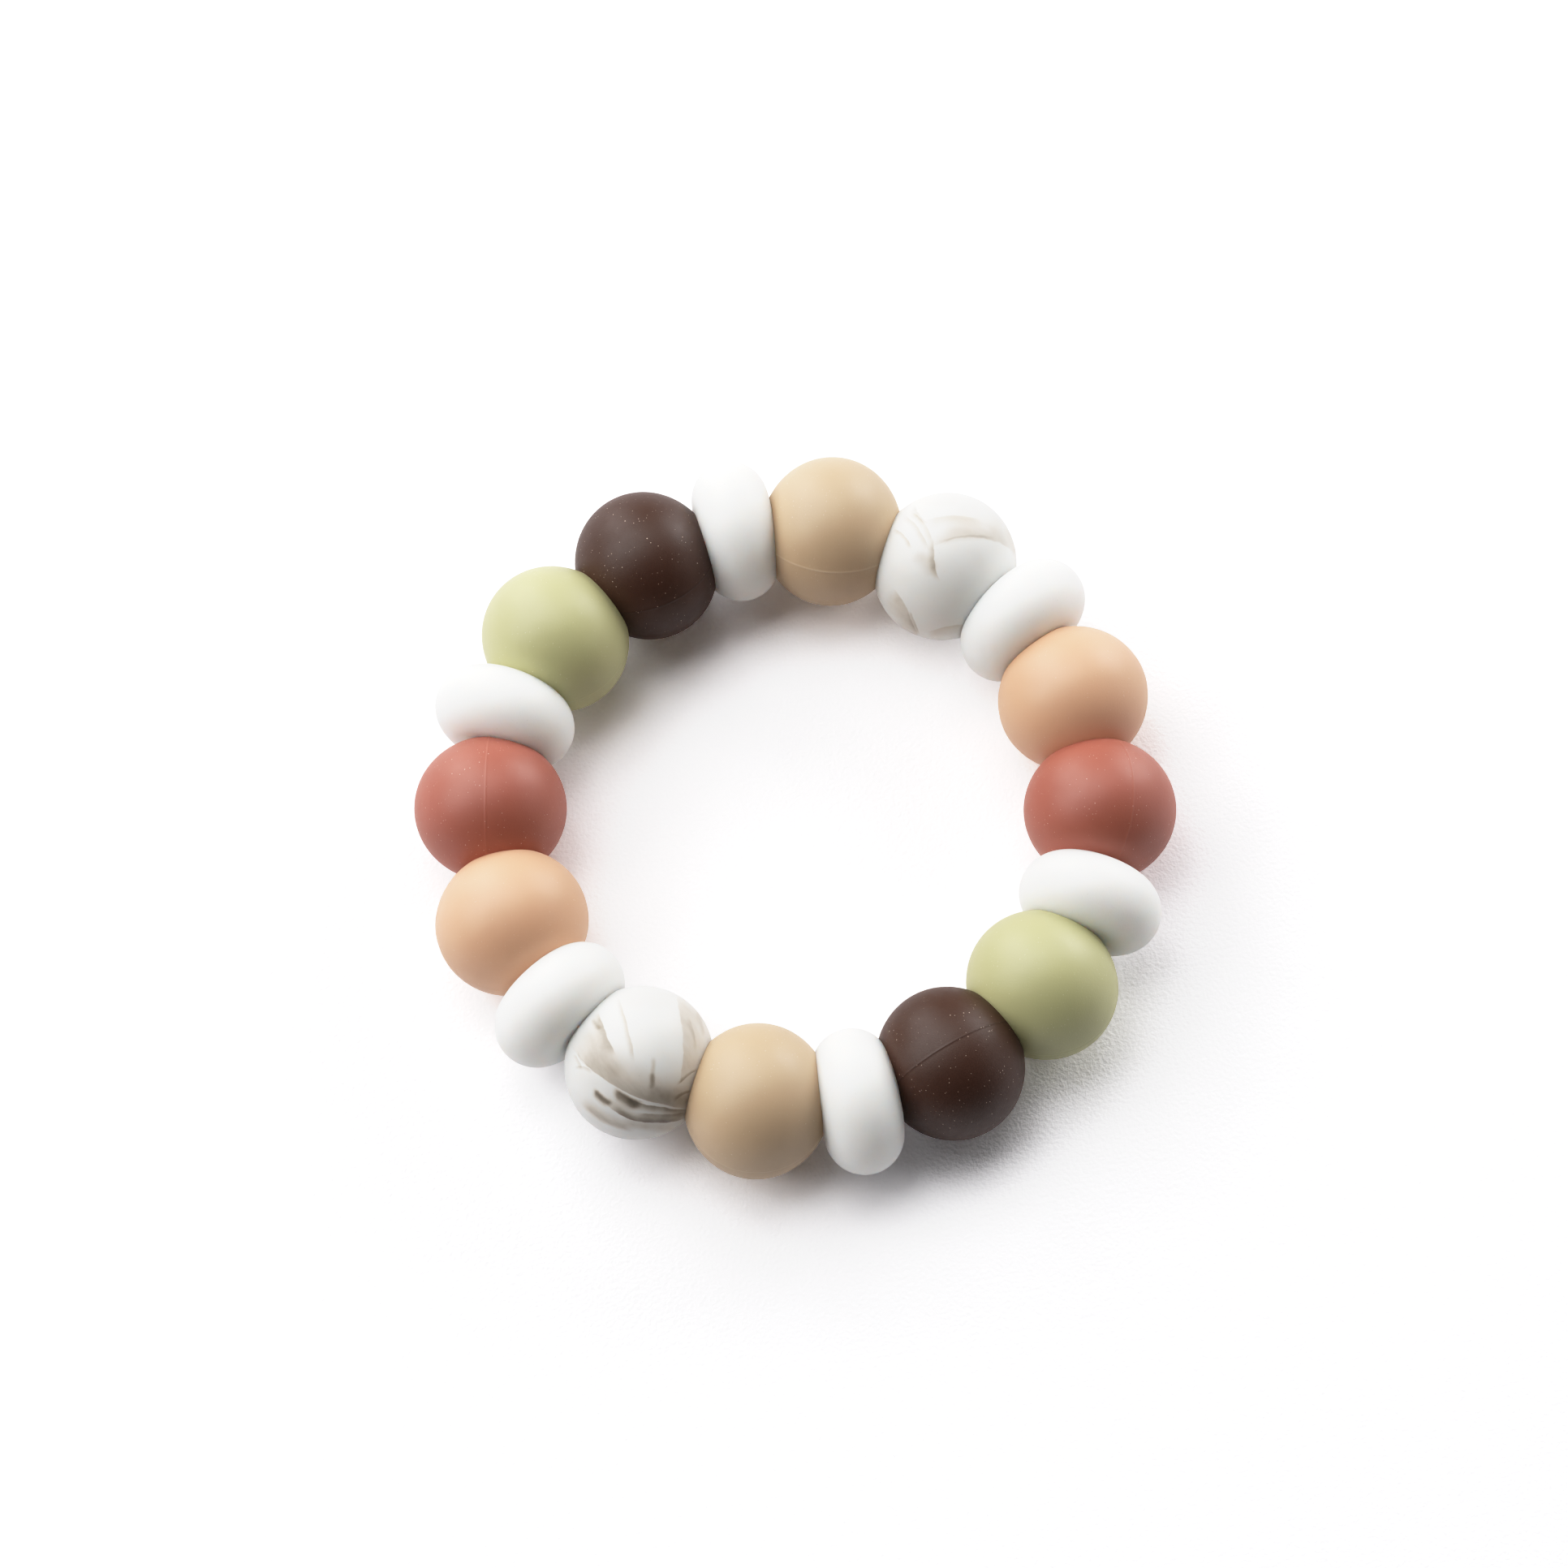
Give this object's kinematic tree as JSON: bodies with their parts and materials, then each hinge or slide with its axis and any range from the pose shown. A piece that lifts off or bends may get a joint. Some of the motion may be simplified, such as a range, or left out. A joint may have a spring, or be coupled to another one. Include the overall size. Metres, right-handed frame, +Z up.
{
  "type": "bead teething ring",
  "caption": "Closed ring of soft matte round and disc beads in muted colours, threaded on a hidden knotted cord.",
  "frame": {"origin": "floor point under the ring's centre, with the ring lying flat", "axes": "+Z up, along the ring's own axis; +X along the fold line through two opposite bead junctions; +Y from the fold line towards the back half"},
  "size_m": [0.0736, 0.075, 0.015],
  "materials": {
    "silicone_sand": "matte",
    "silicone_marble": "matte",
    "silicone_white": "matte",
    "silicone_peach": "matte",
    "silicone_clay": "matte",
    "silicone_sage": "matte",
    "silicone_cocoa": "matte",
    "cord_nylon": "braided satin"
  },
  "bodies": {
    "back_half": {"cord_back": "cord_nylon"},
    "front_half": {"cord_front": "cord_nylon"},
    "bead_back_peach": {"bead_back_peach": "silicone_peach"},
    "bead_back_disc_1": {"bead_back_disc_1": "silicone_white"},
    "bead_back_marble": {"bead_back_marble": "silicone_marble"},
    "bead_back_sand": {"bead_back_sand": "silicone_sand"},
    "bead_back_disc_2": {"bead_back_disc_2": "silicone_white"},
    "bead_back_cocoa": {"bead_back_cocoa": "silicone_cocoa"},
    "bead_back_sage": {"bead_back_sage": "silicone_sage"},
    "bead_back_disc_3": {"bead_back_disc_3": "silicone_white"},
    "bead_back_clay": {"bead_back_clay": "silicone_clay"},
    "bead_front_peach": {"bead_front_peach": "silicone_peach"},
    "bead_front_disc_1": {"bead_front_disc_1": "silicone_white"},
    "bead_front_marble": {"bead_front_marble": "silicone_marble"},
    "bead_front_sand": {"bead_front_sand": "silicone_sand"},
    "bead_front_disc_2": {"bead_front_disc_2": "silicone_white"},
    "bead_front_cocoa": {"bead_front_cocoa": "silicone_cocoa"},
    "bead_front_sage": {"bead_front_sage": "silicone_sage"},
    "bead_front_disc_3": {"bead_front_disc_3": "silicone_white"},
    "bead_front_clay": {"bead_front_clay": "silicone_clay"}
  },
  "joints": [
    {"name": "ring_fold", "type": "hinge", "parent": "front_half", "child": "back_half", "pos_m": [0, 0, 0.0075], "axis": [1, 0, 0], "range_deg": [0, 20], "stiffness_Nm_per_rad": 0.005},
    {"name": "spin_back_peach", "type": "hinge", "parent": "back_half", "child": "bead_back_peach", "pos_m": [0.02936, 0.006, 0.0075], "axis": [-0.2002, 0.9798, 0], "continuous": true},
    {"name": "spin_back_disc_1", "type": "hinge", "parent": "back_half", "child": "bead_back_disc_1", "pos_m": [0.0263, 0.01518, 0.0075], "axis": [-0.5, 0.866, 0], "continuous": true},
    {"name": "spin_back_marble", "type": "hinge", "parent": "back_half", "child": "bead_back_marble", "pos_m": [0.01988, 0.02243, 0.0075], "axis": [-0.7484, 0.6633, 0], "continuous": true},
    {"name": "spin_back_sand", "type": "hinge", "parent": "back_half", "child": "bead_back_sand", "pos_m": [0.00949, 0.02843, 0.0075], "axis": [-0.9486, 0.3165, 0], "continuous": true},
    {"name": "spin_back_disc_2", "type": "hinge", "parent": "back_half", "child": "bead_back_disc_2", "pos_m": [0, 0.03037, 0.0075], "axis": [-1, 0, 0], "continuous": true},
    {"name": "spin_back_cocoa", "type": "hinge", "parent": "back_half", "child": "bead_back_cocoa", "pos_m": [-0.00949, 0.02843, 0.0075], "axis": [-0.9486, -0.3165, 0], "continuous": true},
    {"name": "spin_back_sage", "type": "hinge", "parent": "back_half", "child": "bead_back_sage", "pos_m": [-0.01988, 0.02243, 0.0075], "axis": [-0.7484, -0.6633, 0], "continuous": true},
    {"name": "spin_back_disc_3", "type": "hinge", "parent": "back_half", "child": "bead_back_disc_3", "pos_m": [-0.0263, 0.01518, 0.0075], "axis": [-0.5, -0.866, 0], "continuous": true},
    {"name": "spin_back_clay", "type": "hinge", "parent": "back_half", "child": "bead_back_clay", "pos_m": [-0.02936, 0.006, 0.0075], "axis": [-0.2002, -0.9798, 0], "continuous": true},
    {"name": "spin_front_peach", "type": "hinge", "parent": "front_half", "child": "bead_front_peach", "pos_m": [-0.02936, -0.006, 0.0075], "axis": [0.2002, -0.9798, 0], "continuous": true},
    {"name": "spin_front_disc_1", "type": "hinge", "parent": "front_half", "child": "bead_front_disc_1", "pos_m": [-0.0263, -0.01518, 0.0075], "axis": [0.5, -0.866, 0], "continuous": true},
    {"name": "spin_front_marble", "type": "hinge", "parent": "front_half", "child": "bead_front_marble", "pos_m": [-0.01988, -0.02243, 0.0075], "axis": [0.7484, -0.6633, 0], "continuous": true},
    {"name": "spin_front_sand", "type": "hinge", "parent": "front_half", "child": "bead_front_sand", "pos_m": [-0.00949, -0.02843, 0.0075], "axis": [0.9486, -0.3165, 0], "continuous": true},
    {"name": "spin_front_disc_2", "type": "hinge", "parent": "front_half", "child": "bead_front_disc_2", "pos_m": [0, -0.03037, 0.0075], "axis": [1, 0, 0], "continuous": true},
    {"name": "spin_front_cocoa", "type": "hinge", "parent": "front_half", "child": "bead_front_cocoa", "pos_m": [0.00949, -0.02843, 0.0075], "axis": [0.9486, 0.3165, 0], "continuous": true},
    {"name": "spin_front_sage", "type": "hinge", "parent": "front_half", "child": "bead_front_sage", "pos_m": [0.01988, -0.02243, 0.0075], "axis": [0.7484, 0.6633, 0], "continuous": true},
    {"name": "spin_front_disc_3", "type": "hinge", "parent": "front_half", "child": "bead_front_disc_3", "pos_m": [0.0263, -0.01518, 0.0075], "axis": [0.5, 0.866, 0], "continuous": true},
    {"name": "spin_front_clay", "type": "hinge", "parent": "front_half", "child": "bead_front_clay", "pos_m": [0.02936, -0.006, 0.0075], "axis": [0.2002, 0.9798, 0], "continuous": true}
  ]
}
